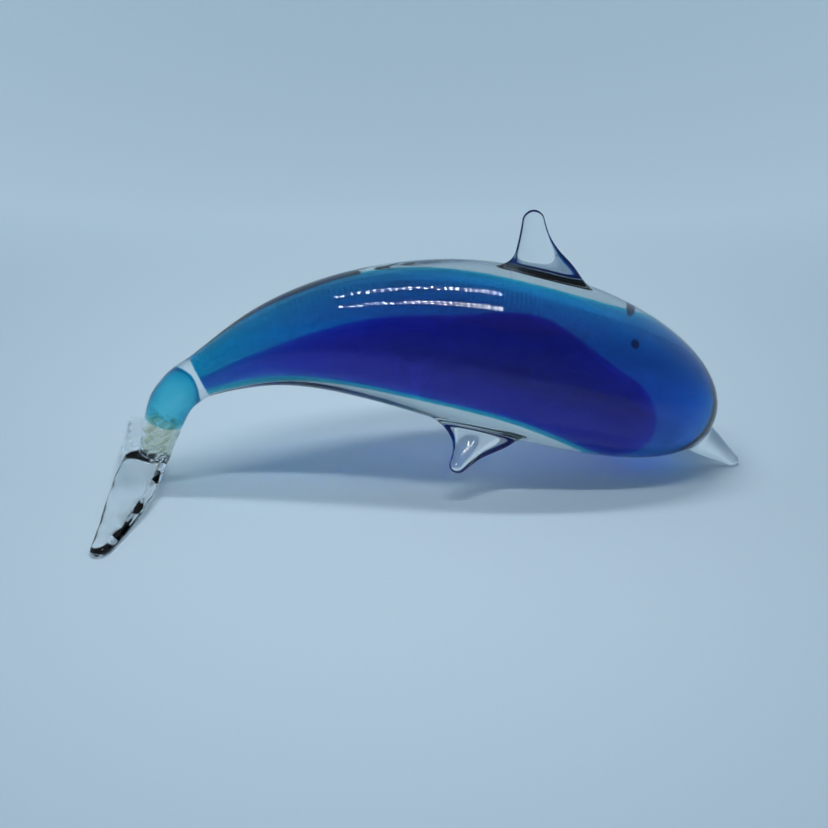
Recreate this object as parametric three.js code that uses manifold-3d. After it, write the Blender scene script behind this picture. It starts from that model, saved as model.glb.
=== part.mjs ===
// Hand-worked cased-glass dolphin: a cobalt spindle inside a lighter blue layer inside a clear body,
// with clear bits applied for the tail, the flukes, the fins and the beak.
// Millimetres. +X runs towards the head, +Z is up and the table is the plane z = 0.

import * as THREE from 'three';
import { mergeVertices } from 'three/addons/utils/BufferGeometryUtils.js';
import Module from 'manifold-3d';

const wasm = await Module();
wasm.setup();
const { Manifold, Mesh: SolidMesh } = wasm;

// ---- Driving dimensions ----------------------------------------------------------------------

const SEAM = 0.3; // clearance left at every fused joint
const TIP_ROUNDING = 0.07; // share of a fin's, lobe's or beak's length that its tip is rounded over

// The body, from the tail join to the brow.
const BODY_LENGTH = 152; // along X
const BODY_RADIUS = 25.3; // at its thickest
const TAIL_RADIUS = 6.5; // at the tail join
const WAIST_AT = 0.607; // where it is thickest, as a fraction of the way from tail join to brow
const TAPER_POWER = 1.12; // how late the body swells from the tail
const HEAD_FULLNESS = 2.25; // exponents of the superellipse that rounds off the head
const HEAD_BLUNTNESS = 2.2;

// Its centre line, tail join first: [share of the body's length, sideways, height above the table].
const BODY_LINE = [
  [0, -10.5, 34.2],
  [0.13, -6, 41.6],
  [0.31, -1.5, 44],
  [0.526, 0, 40.2],
  [0.737, 0, 31.5],
  [0.9, 0, 21.4],
  [1, 0, 13.2],
];

// Glass layers thin out together as the body is drawn, so each layer's radius is a share of the radius
// round it. Stations are [fraction of the way from tail join to brow, share]; a lift raises the layer.
const OVERLAY_SHARE = [
  [0, 0.7], [0.13, 0.68], [0.3, 0.65], [0.42, 0.61], [0.55, 0.54], [0.65, 0.5], [0.73, 0.52], [0.82, 0.62],
  [0.92, 0.8], [1, 0.9],
];
const OVERLAY_LIFT = [[0, 0.1], [0.13, 0.05], [0.3, 0], [0.6, -0.05], [0.8, -0.11], [1, -0.02]];
const OVERLAY_END = 0.98; // as fractions of the body line
const OVERLAY_ROUNDING = 0.06;
const CORE_SHARE = [
  [0, 0.3], [0.13, 0.36], [0.23, 0.46], [0.37, 0.57], [0.49, 0.64], [0.62, 0.75], [0.72, 0.64], [0.88, 0.46],
];
const CORE_LIFT = [
  [0, -0.5], [0.13, -0.5], [0.23, -0.46], [0.37, -0.37], [0.49, -0.31], [0.62, -0.19], [0.72, -0.31],
  [0.88, -0.46],
];
const CORE_END = 0.88;
const CORE_ROUNDING = 0.07;

// The tail: a clear stem that bends down from the tail join, and two leaf-shaped lobes with their tips
// on the table. Each line is given from the point that the piece starts at.
const STEM_LINE = [
  [0, 0, 0],
  [-6.7, -1.1, -4.6],
  [-10.6, -1.5, -10.7],
  [-13, -1.7, -17.2],
  [-15.6, -1.9, -25.6],
];
const STEM_RADIUS = 6.4;
const STEM_ROOT_RADIUS = 4.6;
const STEM_ROUNDING = 0.1; // share of the stem's length that its root end is rounded over
const FLUKE_SET_BACK = 2.4; // from the end of the stem's line to where the two lobes meet
const FLUKE_RIGHT_REACH = [-4, -43.2];
const FLUKE_LEFT_REACH = [-13.5, 44];
const FLUKE_TIP_HEIGHT = 1; // of the middle of its thickness; the flat on its underside is at 0
const FLUKE_SAG = 2.2; // how far the middle of a lobe hangs below the straight line to its tip
const FLUKE_CHORD = 12.6;
const FLUKE_THICKNESS = 4.4;

// The dorsal fin, from the point on the back where it is seated; its foot is buried and cut away there.
const DORSAL_AT = 0.6; // share of the body's line
const DORSAL_LINE = [[-2.7, 0, -9.5], [0, 0, 0], [-2, 0, 8.5], [-2.7, 0, 18.9]];
const DORSAL_CHORD = 23;
const DORSAL_THICKNESS = 11;

// The pectoral fins, from the point on the belly where they are seated: the left one's line.
const PECTORAL_AT = 0.555;
const PECTORAL_LEAN = 32; // degrees from the belly up the side
const PECTORAL_LINE = [[1.1, -5.7, 5.4], [-1.4, 2.8, -0.5], [-8, 12.4, -7.5]];
const PECTORAL_CHORD = 27;
const PECTORAL_THICKNESS = 5.6;

// The beak, from the brow.
const BEAK_LINE = [[-6.5, 0, -0.7], [10.6, 0, -12.9]];
const BEAK_WIDTH = 12.5;
const BEAK_DEPTH = 11;

// The eyes: dark dots laid on the coloured layer before the clear was gathered.
const EYE_AT = 0.775;
const EYE_LEAN = 28; // degrees from the top of the head down its side
const EYE_RADIUS = 1.35;
const EYE_THICKNESS = 1.6;

// ---- Colours ---------------------------------------------------------------------------------

const CRYSTAL = { color: 0xdbe8ec, roughness: 0.03, metalness: 0 };
const SKY_BLUE = { color: 0x0a52c4, roughness: 0.03, metalness: 0 };
const COBALT = { color: 0x050a72, roughness: 0.03, metalness: 0 };
const NAVY = { color: 0x0a1038, roughness: 0.1, metalness: 0 };

// ---- Helpers ---------------------------------------------------------------------------------

const ORIGIN = new THREE.Vector3();

// A smooth curve through points given from a start.
function curveThrough(points, start = ORIGIN) {
  const placed = points.map((point) => new THREE.Vector3(...point).add(start));
  return new THREE.CatmullRomCurve3(placed, false, 'centripetal');
}

// A smooth function through hand-placed [position, value] stations.
function blend(stations) {
  return (t) => {
    const last = stations.length - 1;
    if (t <= stations[0][0]) return stations[0][1];
    if (t >= stations[last][0]) return stations[last][1];
    const next = stations.findIndex(([at]) => at > t);
    const [from, low] = stations[next - 1];
    const [to, high] = stations[next];
    return low + (high - low) * THREE.MathUtils.smoothstep(t, from, to);
  };
}

// 1 along a limb, falling to 0 as a quarter ellipse over the last reach before end.
function roundOff(t, end, reach) {
  const u = Math.max(0, (t - end + reach) / reach);
  return Math.sqrt(Math.max(0, 1 - u * u));
}

// The directions across a curve at t: side stays as near the given direction as it can, up follows.
function crossAxes(curve, t, sideways) {
  const along = curve.getTangentAt(THREE.MathUtils.clamp(t, 0, 1));
  const side = sideways.clone().addScaledVector(along, -sideways.dot(along)).normalize();
  const up = new THREE.Vector3().crossVectors(along, side);
  return { side, up };
}

// A closed mesh as a solid: vertices shared, collapsed triangles dropped, faces turned outwards.
function toSolid(geometry) {
  geometry.deleteAttribute('normal');
  geometry.deleteAttribute('uv');
  const merged = mergeVertices(geometry, 1e-4);
  const positions = merged.getAttribute('position');
  const corners = merged.index.array;
  const kept = [];
  let volume = 0;
  for (let i = 0; i < corners.length; i += 3) {
    const [a, b, c] = corners.slice(i, i + 3);
    if (a === b || b === c || c === a) continue;
    kept.push(a, b, c);
    const [pa, pb, pc] = [a, b, c].map((k) => new THREE.Vector3().fromBufferAttribute(positions, k));
    volume += pa.dot(pb.cross(pc));
  }
  if (volume < 0) kept.reverse();
  const triVerts = new Uint32Array(kept);
  return new Manifold(new SolidMesh({ numProp: 3, vertProperties: positions.array, triVerts }));
}

// The point t of the way along a curve; before 0 and after 1 it carries straight on.
function pointOn(curve, t) {
  const inside = THREE.MathUtils.clamp(t, 0, 1);
  const beyond = (t - inside) * curve.getLength();
  return curve.getPointAt(inside).addScaledVector(curve.getTangentAt(inside), beyond);
}

// A limb of drawn glass: an elliptical section that follows a curve from start to end.
// width and depth are its full sizes across the curve at t, and lift raises its middle off the curve.
function limb({ curve, sideways, width, depth, lift = () => 0, start = 0, end = 1, rings, sides }) {
  const profile = [new THREE.Vector2(0, 0)];
  for (let i = 0; i <= rings; i += 1) {
    profile.push(new THREE.Vector2(0.5, (1 - Math.cos((Math.PI * i) / rings)) / 2));
  }
  profile.push(new THREE.Vector2(0, 1));
  const geometry = new THREE.LatheGeometry(profile, sides);
  const positions = geometry.getAttribute('position');
  for (let i = 0; i < positions.count; i += 1) {
    const t = THREE.MathUtils.lerp(start, end, positions.getY(i));
    const { side, up } = crossAxes(curve, t, sideways);
    const point = pointOn(curve, t)
      .addScaledVector(side, positions.getX(i) * width(t))
      .addScaledVector(up, positions.getZ(i) * depth(t) + lift(t));
    positions.setXYZ(i, point.x, point.y, point.z);
  }
  return toSolid(geometry);
}

// Everything behind a plane through point, as a block; normal points out of it.
function halfSpace(point, normal) {
  const size = 400;
  const block = new THREE.BoxGeometry(size, size, size);
  block.translate(0, 0, -size / 2);
  const facing = new THREE.Vector3(0, 0, 1);
  block.applyQuaternion(new THREE.Quaternion().setFromUnitVectors(facing, normal));
  block.translate(point.x, point.y, point.z);
  return toSolid(block);
}

function toMesh(name, solid, finish) {
  const { numProp, vertProperties, triVerts } = solid.getMesh();
  const geometry = new THREE.BufferGeometry();
  geometry.setAttribute('position', new THREE.BufferAttribute(vertProperties, numProp));
  geometry.setIndex(new THREE.BufferAttribute(triVerts, 1));
  geometry.computeVertexNormals();
  const mesh = new THREE.Mesh(geometry, new THREE.MeshStandardMaterial(finish));
  mesh.name = name;
  return mesh;
}

// ---- The body and its layers -----------------------------------------------------------------

const SIDEWAYS = new THREE.Vector3(0, 1, 0);
const FORWARDS = new THREE.Vector3(1, 0, 0);
const UPWARDS = new THREE.Vector3(0, 0, 1);

const bodyLine = curveThrough(BODY_LINE.map(([share, y, z]) => [(share - 0.5) * BODY_LENGTH, y, z]));
const overlayShare = blend(OVERLAY_SHARE);
const overlayLift = blend(OVERLAY_LIFT);
const coreShare = blend(CORE_SHARE);
const coreLift = blend(CORE_LIFT);

function bodyRadius(t) {
  if (t < WAIST_AT) {
    const swell = Math.sin((Math.PI / 2) * (Math.max(t, 0) / WAIST_AT) ** TAPER_POWER);
    return TAIL_RADIUS + (BODY_RADIUS - TAIL_RADIUS) * swell;
  }
  const u = (t - WAIST_AT) / (1 - WAIST_AT);
  return BODY_RADIUS * Math.max(0, 1 - u ** HEAD_FULLNESS) ** (1 / HEAD_BLUNTNESS);
}

const overlayRadius = (t) => overlayShare(t) * bodyRadius(t);
const overlayHeight = (t) => overlayLift(t) * bodyRadius(t);
const coreRadius = (t) => coreShare(t) * overlayRadius(t);
const coreHeight = (t) => overlayHeight(t) + coreLift(t) * overlayRadius(t);

// A round layer of the body, grown all over by a clearance. Its front end moves out by as much.
function layer({ radius, lift, end = 1, rounding = 0, grow = 0, start = 0, rings, sides }) {
  const grownEnd = end + grow / bodyLine.getLength();
  const size = (grownAt) => {
    const t = (grownAt * end) / grownEnd;
    return 2 * (radius(t) * (rounding ? roundOff(t, end, rounding) : 1) + grow);
  };
  return limb({
    curve: bodyLine, sideways: SIDEWAYS, width: size, depth: size, lift, start, end: grownEnd, rings, sides,
  });
}

const body = { radius: bodyRadius, lift: () => 0, rings: 30, sides: 32 };
const overlay = {
  radius: overlayRadius,
  lift: overlayHeight,
  end: OVERLAY_END,
  rounding: OVERLAY_ROUNDING,
  rings: 22,
  sides: 20,
};
const core = {
  radius: coreRadius,
  lift: coreHeight,
  end: CORE_END,
  rounding: CORE_ROUNDING,
  rings: 18,
  sides: 14,
};
const OPEN_END = -0.03; // a cavity runs out through the tail join, so no layer is sealed
const grown = (piece) => layer({ ...piece, grow: SEAM, start: OPEN_END });

const bodySolid = layer(body);
const overlayCavity = grown(overlay);
const coreCavity = grown(core);

// The point at a height over the body's line, leaning over from straight up, and the way it faces.
function rise(at, degrees, height, base = 0) {
  const axes = crossAxes(bodyLine, at, SIDEWAYS);
  const lean = THREE.MathUtils.degToRad(degrees);
  const outwards = axes.up.clone().multiplyScalar(Math.cos(lean));
  outwards.addScaledVector(axes.side, Math.sin(lean));
  const point = pointOn(bodyLine, at).addScaledVector(axes.up, base).addScaledVector(outwards, height);
  return { point, outwards };
}

function eyeSolid(side, grow = 0) {
  const eye = new THREE.SphereGeometry(1, 12, 8);
  eye.scale(EYE_RADIUS + grow, EYE_RADIUS + grow, EYE_THICKNESS / 2 + grow);
  const height = overlayRadius(EYE_AT) + 2 * SEAM + EYE_THICKNESS / 2;
  const { point, outwards } = rise(EYE_AT, side * EYE_LEAN, height, overlayHeight(EYE_AT));
  eye.applyQuaternion(new THREE.Quaternion().setFromUnitVectors(UPWARDS, outwards));
  eye.translate(point.x, point.y, point.z);
  return toSolid(eye);
}

// Each eye's pocket opens onto the coloured layer below it.
const LEFT = 1;
const RIGHT = -1;
const casing = [LEFT, RIGHT].reduce(
  (solid, side) => solid.subtract(eyeSolid(side, 2 * SEAM)),
  bodySolid.subtract(overlayCavity),
);

// ---- The tail --------------------------------------------------------------------------------

// The flats ground on the two fluke tips and the beak lie on the table.
const belowTable = halfSpace(ORIGIN, UPWARDS);

const joinPoint = pointOn(bodyLine, 0);
const joinFacing = bodyLine.getTangentAt(0);
const stemFace = joinPoint.clone().addScaledVector(joinFacing, -SEAM);
const stemLine = curveThrough(STEM_LINE, joinPoint);

function stemSolid(grow = 0) {
  const size = (t) => {
    const radius = THREE.MathUtils.lerp(STEM_RADIUS, STEM_ROOT_RADIUS, t * t);
    return 2 * (radius + grow) * roundOff(t, 1, STEM_ROUNDING);
  };
  const solid = limb({
    curve: stemLine, sideways: SIDEWAYS, width: size, depth: size, start: -0.15, rings: 12, sides: 18,
  });
  return solid.subtract(halfSpace(stemFace, joinFacing.clone().negate()));
}

const flukeRoot = stemLine.getPointAt(1);
flukeRoot.x -= FLUKE_SET_BACK;
const flukeChord = blend([[0, 0.95], [0.25, 1], [0.7, 0.66], [1, 0.36]]);
const flukeDepth = blend([[0, 1], [0.5, 0.75], [1, 0.6]]);

const flukeTip = ([x, y]) => new THREE.Vector3(flukeRoot.x + x, flukeRoot.y + y, FLUKE_TIP_HEIGHT);
const leftTip = flukeTip(FLUKE_LEFT_REACH);
const rightTip = flukeTip(FLUKE_RIGHT_REACH);
const towardsLeft = leftTip.clone().sub(rightTip).normalize();
const towardsRight = towardsLeft.clone().negate();

// One lobe, cut back where it meets the stem and the other lobe.
function flukeSolid(tip, parting) {
  const middle = flukeRoot.clone().lerp(tip, 0.5);
  middle.z -= FLUKE_SAG;
  const curve = new THREE.CatmullRomCurve3([flukeRoot, middle, tip]);
  const end = (t) => roundOff(t, 1, TIP_ROUNDING);
  const lobe = limb({
    curve,
    sideways: FORWARDS,
    width: (t) => FLUKE_CHORD * flukeChord(t) * end(t),
    depth: (t) => FLUKE_THICKNESS * flukeDepth(t) * end(t),
    rings: 16,
    sides: 14,
  });
  const partingFace = flukeRoot.clone().addScaledVector(parting, SEAM);
  return lobe.subtract(halfSpace(partingFace, parting)).subtract(stemSolid(SEAM)).subtract(belowTable);
}

// ---- The fins and the beak -------------------------------------------------------------------

const seat = layer({ ...body, grow: SEAM });

const dorsalChord = blend([[0, 1.05], [0.35, 0.96], [0.47, 0.7], [0.6, 0.52], [0.8, 0.37], [1, 0.22]]);
const dorsalDepth = blend([[0, 1], [0.35, 0.85], [0.55, 0.42], [1, 0.2]]);
const dorsalFin = limb({
  curve: curveThrough(DORSAL_LINE, rise(DORSAL_AT, 0, bodyRadius(DORSAL_AT)).point),
  sideways: FORWARDS,
  width: (t) => DORSAL_CHORD * dorsalChord(t) * roundOff(t, 1, TIP_ROUNDING),
  depth: (t) => DORSAL_THICKNESS * dorsalDepth(t) * roundOff(t, 1, TIP_ROUNDING),
  rings: 16,
  sides: 16,
}).subtract(seat);

const pectoralChord = blend([[0, 1], [0.35, 0.9], [0.62, 0.42], [0.85, 0.22], [1, 0.14]]);
const pectoralDepth = blend([[0, 1], [0.4, 0.8], [1, 0.5]]);

function pectoralFin(side) {
  const { point } = rise(PECTORAL_AT, side * (180 - PECTORAL_LEAN), bodyRadius(PECTORAL_AT));
  return limb({
    curve: curveThrough(PECTORAL_LINE.map(([x, y, z]) => [x, side * y, z]), point),
    sideways: FORWARDS,
    width: (t) => PECTORAL_CHORD * pectoralChord(t) * roundOff(t, 1, TIP_ROUNDING),
    depth: (t) => PECTORAL_THICKNESS * pectoralDepth(t) * roundOff(t, 1, TIP_ROUNDING),
    rings: 14,
    sides: 14,
  }).subtract(seat);
}

const beakTaper = blend([[0, 1], [0.5, 0.74], [0.8, 0.44], [1, 0.3]]);
const beak = limb({
  curve: curveThrough(BEAK_LINE, bodyLine.getPointAt(1)),
  sideways: SIDEWAYS,
  width: (t) => BEAK_WIDTH * beakTaper(t) * roundOff(t, 1, TIP_ROUNDING),
  depth: (t) => BEAK_DEPTH * beakTaper(t) * roundOff(t, 1, TIP_ROUNDING),
  rings: 14,
  sides: 16,
}).subtract(seat).subtract(belowTable);

// ---- The figurine ----------------------------------------------------------------------------

const pieces = [
  toMesh('clear_casing', casing, CRYSTAL),
  toMesh('blue_overlay', layer(overlay).subtract(coreCavity), SKY_BLUE),
  toMesh('cobalt_core', layer(core), COBALT),
  toMesh('tail_stem', stemSolid(), CRYSTAL),
  toMesh('fluke_left', flukeSolid(leftTip, towardsLeft), CRYSTAL),
  toMesh('fluke_right', flukeSolid(rightTip, towardsRight), CRYSTAL),
  toMesh('dorsal_fin', dorsalFin, CRYSTAL),
  toMesh('pectoral_fin_left', pectoralFin(LEFT), CRYSTAL),
  toMesh('pectoral_fin_right', pectoralFin(RIGHT), CRYSTAL),
  toMesh('beak', beak, CRYSTAL),
  toMesh('eye_left', eyeSolid(LEFT), NAVY),
  toMesh('eye_right', eyeSolid(RIGHT), NAVY),
];

// The origin is the middle of the footprint on the table.
const figurine = new THREE.Group();
figurine.add(...pieces);
const middle = new THREE.Box3().setFromObject(figurine).getCenter(new THREE.Vector3());
figurine.position.set(-middle.x, -middle.y, 0);

export default figurine;
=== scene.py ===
"""A hand-worked cased-glass dolphin: coloured layers inside clear crystal, with applied fins and tail.

Every shape is worked out in millimetres on the figurine's own centre line and then set down in the
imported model's frame. The clear pieces are fused: each pair meets on index-matched faces, so light
crosses the joint as it does in welded glass, and every piece is still a closed solid of its own.
"""

import logging
import math
from collections.abc import Callable, Sequence
from dataclasses import dataclass, field
from enum import Enum

import bmesh
import bpy
import numpy as np
from mathutils import Matrix, Vector


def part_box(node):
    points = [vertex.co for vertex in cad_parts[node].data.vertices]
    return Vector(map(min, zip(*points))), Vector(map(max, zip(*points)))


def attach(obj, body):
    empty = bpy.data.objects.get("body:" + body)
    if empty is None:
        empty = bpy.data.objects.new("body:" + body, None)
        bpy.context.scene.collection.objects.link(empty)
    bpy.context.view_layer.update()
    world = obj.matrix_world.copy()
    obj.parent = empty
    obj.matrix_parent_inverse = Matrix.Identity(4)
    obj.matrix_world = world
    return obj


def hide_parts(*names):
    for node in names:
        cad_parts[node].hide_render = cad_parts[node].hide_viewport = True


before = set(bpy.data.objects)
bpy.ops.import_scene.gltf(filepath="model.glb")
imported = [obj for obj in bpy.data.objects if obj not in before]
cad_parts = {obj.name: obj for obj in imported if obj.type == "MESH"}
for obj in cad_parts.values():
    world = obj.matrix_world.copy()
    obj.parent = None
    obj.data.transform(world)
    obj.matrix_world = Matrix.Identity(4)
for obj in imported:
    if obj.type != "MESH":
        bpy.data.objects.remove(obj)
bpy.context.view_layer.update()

LOG = logging.getLogger("dolphin")
MM = 0.001
SIDEWAYS = np.array([0.0, 1.0, 0.0])
FORWARDS = np.array([1.0, 0.0, 0.0])
LEAST_WIDTH = 1e-4
GROUND_GAP = 0.02
UPWARDS = np.array([0.0, 0.0, 1.0])
SHARP = math.radians(30)
Shape = Callable[[np.ndarray], np.ndarray]


# ---- Curves ------------------------------------------------------------------------------------


class Spline:
    """A natural cubic spline through rows of values, one row for each knot."""

    def __init__(self, knots: Sequence[float], rows: Sequence[Sequence[float]]) -> None:
        """Solve for the spline's bends.

        Args:
            knots: The parameter at each row, rising.
            rows: The values to pass through.
        """
        self.knots = np.asarray(knots, float)
        self.rows = np.asarray(rows, float).reshape(len(knots), -1)
        count = len(knots)
        gap = np.diff(self.knots)
        matrix = np.eye(count)
        right = np.zeros_like(self.rows)
        slope = np.diff(self.rows, axis=0) / gap[:, None]
        for i in range(1, count - 1):
            matrix[i, i - 1 : i + 2] = gap[i - 1], 2 * (gap[i - 1] + gap[i]), gap[i]
            right[i] = 6 * (slope[i] - slope[i - 1])
        self.bends = np.linalg.solve(matrix, right)

    def __call__(self, at: np.ndarray | float) -> np.ndarray:
        """Return the values at each parameter; beyond the ends they keep the end's value.

        Args:
            at: Parameters.

        Returns:
            One row for each parameter.
        """
        t = np.clip(np.asarray(at, float), self.knots[0], self.knots[-1])
        i = np.clip(np.searchsorted(self.knots, t, side="right") - 1, 0, len(self.knots) - 2)
        low, high = self.knots[i], self.knots[i + 1]
        gap = high - low
        a = ((high - t) / gap)[..., None]
        b = ((t - low) / gap)[..., None]
        square = (gap**2 / 6)[..., None]
        bend = (a**3 - a) * self.bends[i] + (b**3 - b) * self.bends[i + 1]
        return a * self.rows[i] + b * self.rows[i + 1] + square * bend


def stations(*pairs: tuple[float, float]) -> Shape:
    """Return a smooth function of one number through given (position, value) stations."""
    spline = Spline([at for at, _ in pairs], [[value] for _, value in pairs])
    return lambda t: spline(t)[..., 0]


def round_off(t: np.ndarray, end: float, reach: float) -> np.ndarray:
    """Return 1 along a limb, falling to 0 as a quarter ellipse over the last reach before end."""
    u = np.clip((t - end + reach) / reach, 0.0, 1.0)
    return np.sqrt(1 - u**2)


class Path:
    """A smooth line in space, read by the share of its length and carried on straight at its ends."""

    SAMPLES = 800
    STRIDE = 16
    LEAST_BEND = 1e-12
    NEAR_END, PAST_END = 0.995, 0.99

    def __init__(self, points: Sequence[Sequence[float]], start: Sequence[float] = (0, 0, 0)) -> None:
        """Lay the line through points given from a start.

        Args:
            points: Points in millimetres.
            start: What they are measured from.
        """
        placed = np.asarray(points, float) + np.asarray(start, float)
        chords = np.linalg.norm(np.diff(placed, axis=0), axis=1)
        knots = np.concatenate([[0.0], np.cumsum(chords)])
        spline = Spline(knots, placed)
        rough = spline(np.linspace(0, knots[-1], 4 * self.SAMPLES))
        travelled = np.concatenate([[0.0], np.cumsum(np.linalg.norm(np.diff(rough, axis=0), axis=1))])
        self.length = float(travelled[-1])
        self.run = np.linspace(0, self.length, self.SAMPLES)
        self.table = np.stack([np.interp(self.run, travelled, rough[:, k]) for k in range(3)], axis=-1)
        tangents = np.gradient(self.table, self.run, axis=0)
        self.tangents = tangents / np.linalg.norm(tangents, axis=1, keepdims=True)

    def _read(self, values: np.ndarray, t: np.ndarray) -> np.ndarray:
        """Return table values at shares of the length, held at the ends."""
        at = np.clip(t, 0, 1) * self.length
        return np.stack([np.interp(at, self.run, values[:, k]) for k in range(3)], axis=-1)

    def tangent(self, t: np.ndarray) -> np.ndarray:
        """Return the unit directions along the line."""
        along = self._read(self.tangents, np.asarray(t, float))
        return along / np.linalg.norm(along, axis=-1, keepdims=True)

    def point(self, t: np.ndarray) -> np.ndarray:
        """Return points on the line."""
        t = np.asarray(t, float)
        beyond = (t - np.clip(t, 0, 1)) * self.length
        return self._read(self.table, t) + self.tangent(t) * beyond[..., None]

    def across(self, t: np.ndarray, sideways: np.ndarray) -> tuple[np.ndarray, np.ndarray]:
        """Return the side and up directions across the line; side stays near the one given."""
        along = self.tangent(t)
        side = sideways - along * (along @ sideways)[..., None]
        side = side / np.linalg.norm(side, axis=-1, keepdims=True)
        return side, np.cross(along, side)

    def nearest(self, points: np.ndarray) -> np.ndarray:
        """Return the share of the length at which the line passes nearest to each point.

        Args:
            points: Rows of points, in millimetres.

        Returns:
            One share for each point; a point past the far end gets a share over 1.
        """
        stride = self.STRIDE
        rows = np.arange(len(points))[:, None]
        rough = ((points[:, None, :] - self.table[None, ::stride]) ** 2).sum(-1).argmin(1) * stride
        window = np.clip(rough[:, None] + np.arange(-stride, stride + 1)[None], 0, self.SAMPLES - 1)
        gap = ((points[:, None, :] - self.table[window]) ** 2).sum(-1)
        best = np.clip(gap.argmin(1), 1, 2 * stride - 1)[:, None]
        before, here, after = (gap[rows, best + k][:, 0] for k in (-1, 0, 1))
        bend = before - 2 * here + after
        least = self.LEAST_BEND
        shift = np.where(bend > least, 0.5 * (before - after) / np.maximum(bend, least), 0.0)
        middle = window[rows, best][:, 0]
        share = np.clip((middle + np.clip(shift, -1, 1)) / (self.SAMPLES - 1), 0, 1)
        beyond = ((points - self.table[-1]) @ self.tangents[-1]) / self.length
        return np.where(share > self.NEAR_END, np.maximum(1 + beyond, self.PAST_END), share)


# ---- Skins: closed meshes made of rings --------------------------------------------------------


@dataclass
class Skin:
    """A closed surface: rings of equal length between two end points, in millimetres.

    welds lists the runs of rings, as (first, last), whose faces are fused to a neighbour.
    """

    rings: list[np.ndarray]
    first: np.ndarray
    last: np.ndarray
    welds: list[tuple[int, int]] = field(default_factory=list)

    def to_mesh(self, name: str) -> bpy.types.Mesh:
        """Return the mesh with its faces outwards, smooth, and welded faces in slot 1."""
        sides = len(self.rings[0])
        count = len(self.rings)
        verts = np.concatenate([self.first[None], *self.rings, self.last[None]])
        faces: list[tuple[int, ...]] = []
        welded: list[bool] = []

        def is_weld(row: int) -> bool:
            """Say whether the band below ring row is fused; row 0 and row count are the end fans."""
            return any(low <= row <= high for low, high in self.welds)

        end = len(verts) - 1
        for j in range(sides):
            k = (j + 1) % sides
            faces.append((0, 1 + k, 1 + j))
            welded.append(is_weld(0))
            for i in range(count - 1):
                a, b = 1 + i * sides, 1 + (i + 1) * sides
                faces.append((a + j, a + k, b + k, b + j))
                welded.append(is_weld(i + 1))
            a = 1 + (count - 1) * sides
            faces.append((a + j, a + k, end))
            welded.append(is_weld(count))
        mesh = bpy.data.meshes.new(name)
        mesh.from_pydata([tuple(v) for v in verts], [], faces)
        mesh.polygons.foreach_set("material_index", [int(w) for w in welded])
        fill = bmesh.new()
        fill.from_mesh(mesh)
        if fill.calc_volume(signed=True) < 0:
            bmesh.ops.reverse_faces(fill, faces=fill.faces)
        fill.to_mesh(mesh)
        fill.free()
        mesh.polygons.foreach_set("use_smooth", [True] * len(mesh.polygons))
        return mesh


def cosine_steps(start: float, end: float, count: int) -> np.ndarray:
    """Return steps from start to end that crowd towards the end."""
    return start + (end - start) * np.sin(np.pi / 2 * np.linspace(0, 1, count))


def eased_steps(count: int) -> np.ndarray:
    """Return steps from 0 to 1 that crowd towards both ends."""
    return (1 - np.cos(np.pi * np.linspace(0, 1, count))) / 2


def turns(sides: int) -> np.ndarray:
    """Return the angles of the points round a section."""
    return np.linspace(0, 2 * np.pi, sides, endpoint=False)


@dataclass
class Limb:
    """Drawn glass: an elliptical section that follows a path.

    width and depth are full sizes across the path; lift raises the section's middle off it.
    """

    path: Path
    sideways: np.ndarray
    width: Shape
    depth: Shape
    lift: Shape = np.zeros_like

    @classmethod
    def rod(
        cls, path: Path, radius: Shape, lift: Shape = np.zeros_like, sideways: np.ndarray = SIDEWAYS
    ) -> "Limb":
        """Return a limb of round section, given how its radius goes along the path."""
        return cls(path, sideways, lambda t: 2 * radius(t), lambda t: 2 * radius(t), lift)

    def surface(self, t: np.ndarray, turn: np.ndarray) -> tuple[np.ndarray, np.ndarray]:
        """Return points of the surface and the directions they face.

        Args:
            t: Shares of the path.
            turn: Angles round the section, of the same shape or one that spreads to it.

        Returns:
            Points and unit directions, each with a last axis of three.
        """
        t, turn = np.broadcast_arrays(np.asarray(t, float), np.asarray(turn, float))
        side, up = self.path.across(t, self.sideways)
        cos, sin = np.cos(turn), np.sin(turn)
        a = np.maximum(self.width(t), LEAST_WIDTH) / 2
        b = np.maximum(self.depth(t), LEAST_WIDTH) / 2
        middle = self.path.point(t) + up * self.lift(t)[..., None]
        points = middle + side * (a * cos)[..., None] + up * (b * sin)[..., None]
        facing = side * (cos / a)[..., None] + up * (sin / b)[..., None]
        return points, facing / np.linalg.norm(facing, axis=-1, keepdims=True)

    def pole(self, t: float) -> np.ndarray:
        """Return the middle of the section at one share of the path."""
        at = np.array([t], float)
        _, up = self.path.across(at, self.sideways)
        return (self.path.point(at) + up * self.lift(at)[:, None])[0]

    def rings(self, steps: np.ndarray, sides: int) -> list[np.ndarray]:
        """Return a ring of points at each step along the path."""
        points, _ = self.surface(steps[:, None], turns(sides)[None])
        return list(points)

    def skin(self, start: float, end: float, rings: int, sides: int) -> Skin:
        """Return a closed limb with a flat cut at its start and a rounded tip at its end."""
        steps = cosine_steps(start, end, rings + 1)[:-1]
        return Skin(self.rings(steps, sides), self.pole(start), self.pole(end))

    def bead(self, rings: int, sides: int) -> Skin:
        """Return a closed limb with both of its tips rounded."""
        return Skin(self.rings(eased_steps(rings + 2)[1:-1], sides), self.pole(0.0), self.pole(1.0))


def blunted(full: float, share: Shape, tip: float) -> Shape:
    """Return a size along a limb: shares of the full size, rounded off over the tip."""
    return lambda t: full * share(t) * round_off(t, 1, tip)


# ---- Sizes of the body, in millimetres ----------------------------------------------------------


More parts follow.
